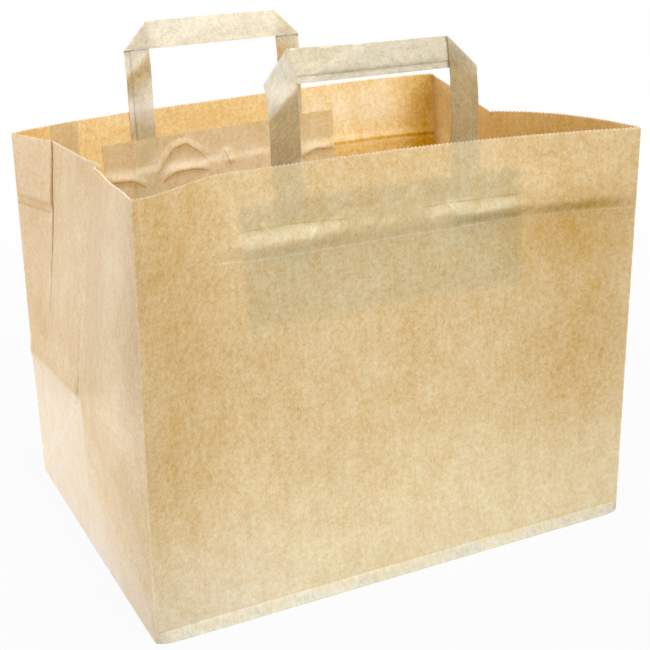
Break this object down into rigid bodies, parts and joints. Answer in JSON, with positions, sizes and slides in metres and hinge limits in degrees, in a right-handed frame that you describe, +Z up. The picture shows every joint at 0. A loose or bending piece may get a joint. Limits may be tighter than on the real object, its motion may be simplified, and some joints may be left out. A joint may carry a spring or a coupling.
{
  "type": "paper carrier bag",
  "caption": "Open block-bottom carrier bag of brown kraft paper with inward side gussets, a toothed rim and flat folded paper handles held by glued patches.",
  "frame": {"origin": "on the floor under the middle of the whole bag's box", "axes": "+Z up, the front panel faces -Y, +X to the right as seen from the front"},
  "size_m": [0.332, 0.2494, 0.31],
  "materials": {
    "kraft": "matte",
    "tape": "matte",
    "patch": "matte"
  },
  "bodies": {
    "root": {"bag_body": "kraft", "front_handle": "tape", "back_handle": "tape", "front_patch": "patch", "back_patch": "patch"}
  },
  "joints": []
}
